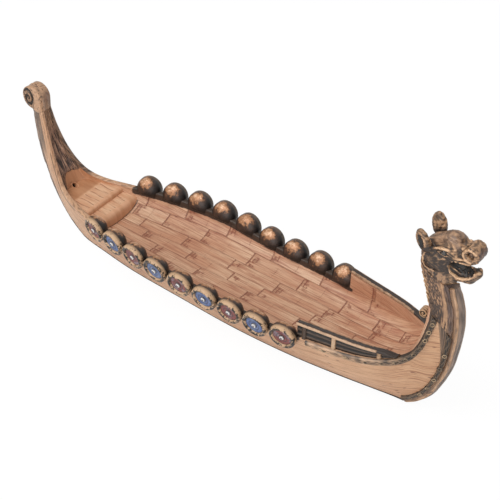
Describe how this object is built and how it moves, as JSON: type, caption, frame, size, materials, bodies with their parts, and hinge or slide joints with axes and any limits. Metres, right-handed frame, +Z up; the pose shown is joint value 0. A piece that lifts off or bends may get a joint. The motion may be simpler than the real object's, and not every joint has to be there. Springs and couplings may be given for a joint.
{
  "type": "incense burner",
  "caption": "Dragon-headed longship incense burner: shallow planked ash tray between rows of round shields, with a leaning hole at the stern for one incense stick.",
  "frame": {"origin": "on the surface it stands on, on the centreline, at the middle of the base mount, within 2 mm of the middle of the length", "axes": "+X along the boat towards the dragon head at the bow, +Y to port, +Z up"},
  "size_m": [0.246, 0.0582, 0.1],
  "materials": {
    "tan_resin": "cast resin, warm tan wash with fine lengthwise grain, satin lacquer",
    "plank_resin": "cast resin planking, reddish wash in the joints, satin lacquer",
    "antique_bronze": "cast resin painted dark bronze, dry-brushed copper on the high spots",
    "shield_bronze": "painted bronze with a worn gold rim, black in the hollows",
    "worn_gold": "cream gold dry-brush over dark brown",
    "red_paint": "brick red enamel with darker rings",
    "blue_paint": "slate blue enamel with darker rings",
    "silver_paint": "pewter dry-brush",
    "black_paint": "black wash in recesses",
    "sole_paint": "dark brown paint"
  },
  "bodies": {
    "root": {"hull_shell": "tan_resin", "stern_lining": "tan_resin", "stern_platform": "tan_resin", "stern_step": "tan_resin", "stick_socket": "tan_resin", "deck_lining": "plank_resin", "sole": "sole_paint", "stern_web": "antique_bronze", "stern_keel": "antique_bronze", "stem_keel": "antique_bronze", "stern_scroll": "antique_bronze", "neck": "antique_bronze", "dragon_skull": "antique_bronze", "upper_jaw": "antique_bronze", "lower_jaw": "antique_bronze", "snout_curl": "antique_bronze", "rivets": "antique_bronze", "neck_ridges": "worn_gold", "mane_curl": "worn_gold", "window_posts": "worn_gold", "eyes": "black_paint", "window_panels": "black_paint", "shield_faces_red": "red_paint", "shield_faces_blue": "blue_paint", "shield_bosses": "silver_paint", "stern_rim_port": "tan_resin", "gunwale_port": "tan_resin", "bow_strake_port": "tan_resin", "bow_bulwark_port": "tan_resin", "bow_rail_port": "worn_gold", "bow_band_port": "antique_bronze", "stem_band_port": "antique_bronze", "ear_port": "antique_bronze", "shield_port_1": "shield_bronze", "shield_port_2": "shield_bronze", "shield_port_3": "shield_bronze", "shield_port_4": "shield_bronze", "shield_port_5": "shield_bronze", "shield_port_6": "shield_bronze", "shield_port_7": "shield_bronze", "shield_port_8": "shield_bronze", "shield_port_9": "shield_bronze", "stern_rim_starboard": "tan_resin", "gunwale_starboard": "tan_resin", "bow_strake_starboard": "tan_resin", "bow_bulwark_starboard": "tan_resin", "bow_rail_starboard": "worn_gold", "bow_band_starboard": "antique_bronze", "stem_band_starboard": "antique_bronze", "ear_starboard": "antique_bronze", "shield_starboard_1": "shield_bronze", "shield_starboard_2": "shield_bronze", "shield_starboard_3": "shield_bronze", "shield_starboard_4": "shield_bronze", "shield_starboard_5": "shield_bronze", "shield_starboard_6": "shield_bronze", "shield_starboard_7": "shield_bronze", "shield_starboard_8": "shield_bronze", "shield_starboard_9": "shield_bronze"}
  },
  "joints": []
}
